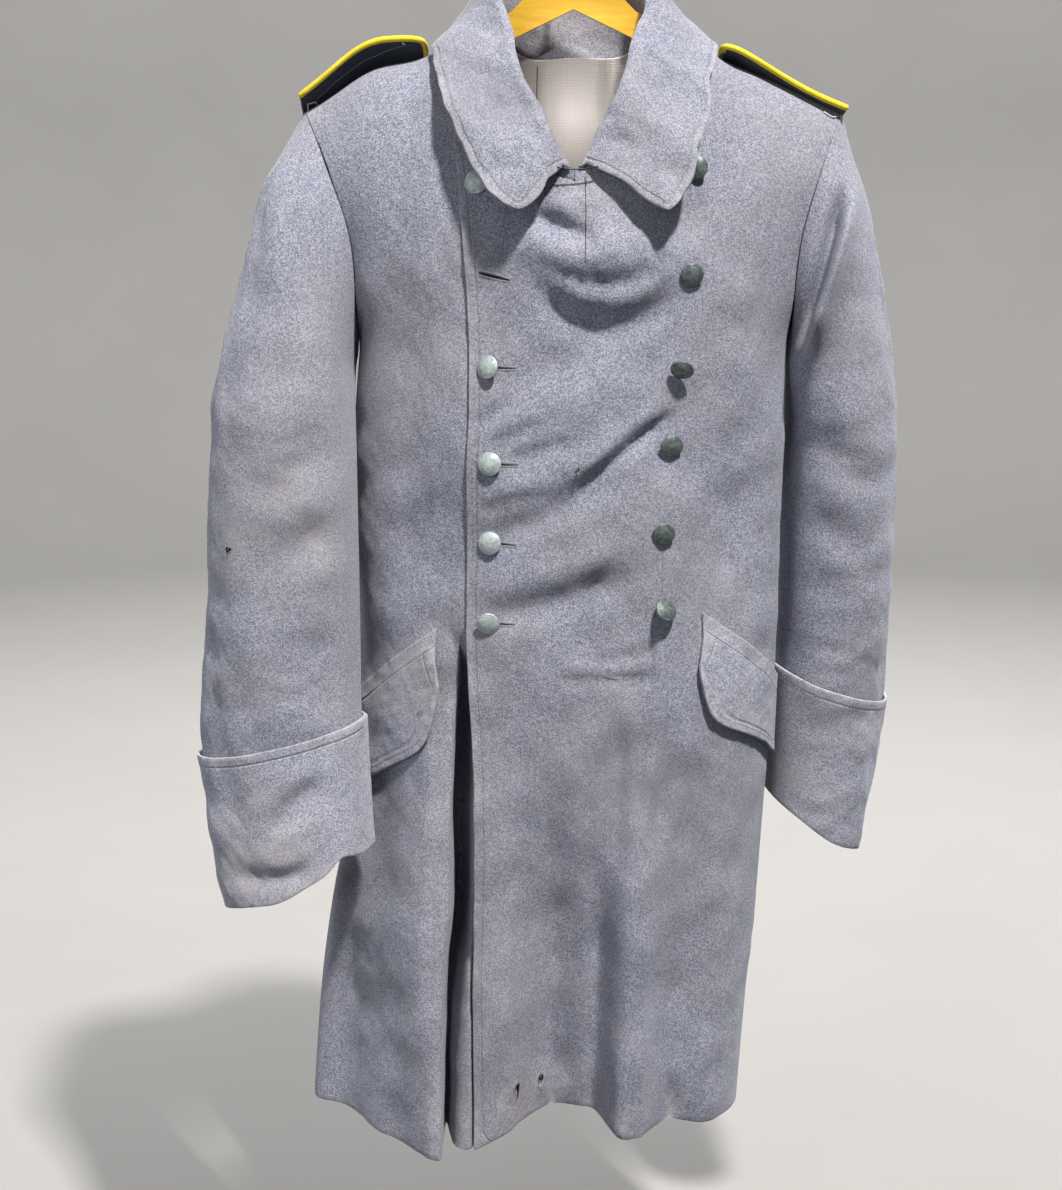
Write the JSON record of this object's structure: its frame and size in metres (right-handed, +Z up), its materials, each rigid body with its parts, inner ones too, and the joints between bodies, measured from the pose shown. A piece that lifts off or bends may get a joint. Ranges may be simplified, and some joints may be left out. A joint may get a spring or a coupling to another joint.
{
  "type": "greatcoat on a hanger",
  "caption": "Long double-breasted wool greatcoat with a fall collar, turned-back cuffs and shoulder straps, buttoned and empty on a flat hanger with a wire hook.",
  "frame": {"origin": "inside top of the hanger's hook, where a rail or a nail carries it", "axes": "+Z up, -Y the coat's front, +X the wearer's left"},
  "size_m": [0.7066, 0.279, 1.2921],
  "materials": {
    "wool": "napped blue-grey melange wool",
    "lining": "woven beige cotton",
    "strap_cloth": "dark felted wool",
    "piping": "yellow wool cord",
    "button": "pebbled, grey-green",
    "wire": "plain wire",
    "hanger_board": "yellow paint"
  },
  "bodies": {
    "root": {"left_front": "wool", "right_front": "wool", "back_left": "wool", "back_right": "wool", "back_lining": "lining", "sleeve_right_upper": "wool", "sleeve_right_under": "wool", "sleeve_left_upper": "wool", "sleeve_left_under": "wool", "cuff_right": "wool", "cuff_left": "wool", "collar": "wool", "collar_hook": "wire", "pocket_welt_right": "wool", "pocket_welt_left": "wool", "pocket_flap_right": "wool", "pocket_flap_left": "wool", "button_right_1": "button", "button_right_3": "button", "button_right_4": "button", "button_right_5": "button", "button_right_6": "button", "button_left_1": "button", "button_left_2": "button", "button_left_3": "button", "button_left_4": "button", "button_left_5": "button", "button_left_6": "button", "strap_right": "strap_cloth", "strap_left": "strap_cloth", "strap_piping_right": "piping", "strap_piping_left": "piping", "hanger": "hanger_board", "hanger_hook": "wire"}
  },
  "joints": []
}
